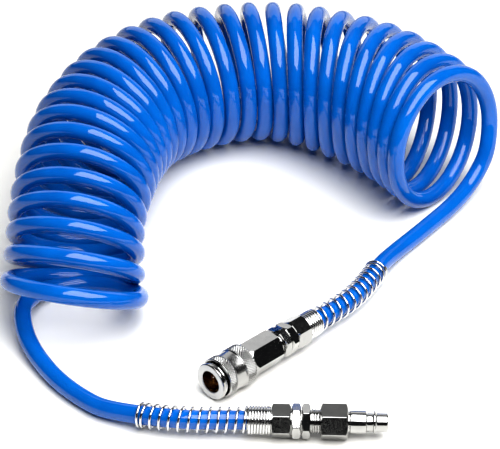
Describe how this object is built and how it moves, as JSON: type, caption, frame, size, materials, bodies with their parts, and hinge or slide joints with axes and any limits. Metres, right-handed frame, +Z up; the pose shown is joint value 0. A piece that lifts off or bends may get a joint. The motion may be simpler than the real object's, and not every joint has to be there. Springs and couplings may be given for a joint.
{
  "type": "coiled air hose",
  "caption": "Long coiled polyurethane air hose lying in an arc, with spring strain reliefs, swivel fittings, a quick-release coupler and a plug.",
  "frame": {"origin": "centre of the bounding box's base, on the surface the hose lies on", "axes": "+Z up from the surface, +X along the coupler's axis from its mouth towards the hose, +Y away from the fittings towards the coil's far bend"},
  "size_m": [0.3431, 0.3451, 0.0952],
  "materials": {
    "hose_polyurethane": "glossy, slightly translucent",
    "plated_steel": "bright nickel plating",
    "spring_steel": "bright drawn wire",
    "brass": "turned",
    "rubber": "matte"
  },
  "bodies": {
    "hose": {"hose_coil": "hose_polyurethane", "hose_tail_coupler": "hose_polyurethane", "hose_tail_plug": "hose_polyurethane", "coupler_strain_relief": "spring_steel", "plug_strain_relief": "spring_steel", "coupler_hose_nut": "plated_steel", "plug_hose_nut": "plated_steel", "coupler_fitting_body": "plated_steel", "plug_fitting_body": "plated_steel"},
    "coupler": {"coupler_swivel_stub": "plated_steel", "coupler_swivel_o_ring": "rubber", "coupler_retaining_ring": "spring_steel", "coupler_hex_body": "plated_steel", "coupler_socket_body": "plated_steel", "coupler_snap_ring": "spring_steel", "coupler_sleeve_spring": "spring_steel", "coupler_plug_seal": "rubber", "coupler_valve_spring": "spring_steel"},
    "plug": {"plug_swivel_stub": "plated_steel", "plug_swivel_o_ring": "rubber", "plug_retaining_ring": "spring_steel", "plug_nipple": "plated_steel"},
    "release_sleeve": {"coupler_release_sleeve": "plated_steel"},
    "valve": {"coupler_valve": "brass", "coupler_valve_washer": "rubber"},
    "lock_ball_1": {"coupler_lock_ball_1": "spring_steel"},
    "lock_ball_2": {"coupler_lock_ball_2": "spring_steel"},
    "lock_ball_3": {"coupler_lock_ball_3": "spring_steel"},
    "lock_ball_4": {"coupler_lock_ball_4": "spring_steel"},
    "lock_ball_5": {"coupler_lock_ball_5": "spring_steel"},
    "lock_ball_6": {"coupler_lock_ball_6": "spring_steel"}
  },
  "joints": [
    {"name": "coupler_swivel", "type": "hinge", "parent": "hose", "child": "coupler", "pos_m": [-0.0645, -0.0807, 0.0113], "axis": [1, 0, 0], "continuous": true},
    {"name": "plug_swivel", "type": "hinge", "parent": "hose", "child": "plug", "pos_m": [-0.10378, -0.13758, 0.0099], "axis": [-0.6858, 0.7278, 0], "continuous": true},
    {"name": "sleeve_slide", "type": "slide", "parent": "coupler", "child": "release_sleeve", "axis": [1, 0, 0], "range_m": [0, 0.0035], "stiffness_N_per_m": 800, "springref_m": -0.01},
    {"name": "valve_slide", "type": "slide", "parent": "coupler", "child": "valve", "axis": [1, 0, 0], "range_m": [0, 0.005], "stiffness_N_per_m": 300, "springref_m": -0.01},
    {"name": "lock_ball_1_slide", "type": "slide", "parent": "coupler", "child": "lock_ball_1", "axis": [0, 0.866, 0.5], "range_m": [0, 0.0009]},
    {"name": "lock_ball_2_slide", "type": "slide", "parent": "coupler", "child": "lock_ball_2", "axis": [0, 0, 1], "range_m": [0, 0.0009]},
    {"name": "lock_ball_3_slide", "type": "slide", "parent": "coupler", "child": "lock_ball_3", "axis": [0, -0.866, 0.5], "range_m": [0, 0.0009]},
    {"name": "lock_ball_4_slide", "type": "slide", "parent": "coupler", "child": "lock_ball_4", "axis": [0, -0.866, -0.5], "range_m": [0, 0.0009]},
    {"name": "lock_ball_5_slide", "type": "slide", "parent": "coupler", "child": "lock_ball_5", "axis": [0, 0, -1], "range_m": [0, 0.0009]},
    {"name": "lock_ball_6_slide", "type": "slide", "parent": "coupler", "child": "lock_ball_6", "axis": [0, 0.866, -0.5], "range_m": [0, 0.0009]}
  ],
  "couplings": [
    {"joint": "lock_ball_1_slide", "follows": "sleeve_slide", "ratio": 0.2571},
    {"joint": "lock_ball_2_slide", "follows": "sleeve_slide", "ratio": 0.2571},
    {"joint": "lock_ball_3_slide", "follows": "sleeve_slide", "ratio": 0.2571},
    {"joint": "lock_ball_4_slide", "follows": "sleeve_slide", "ratio": 0.2571},
    {"joint": "lock_ball_5_slide", "follows": "sleeve_slide", "ratio": 0.2571},
    {"joint": "lock_ball_6_slide", "follows": "sleeve_slide", "ratio": 0.2571}
  ]
}
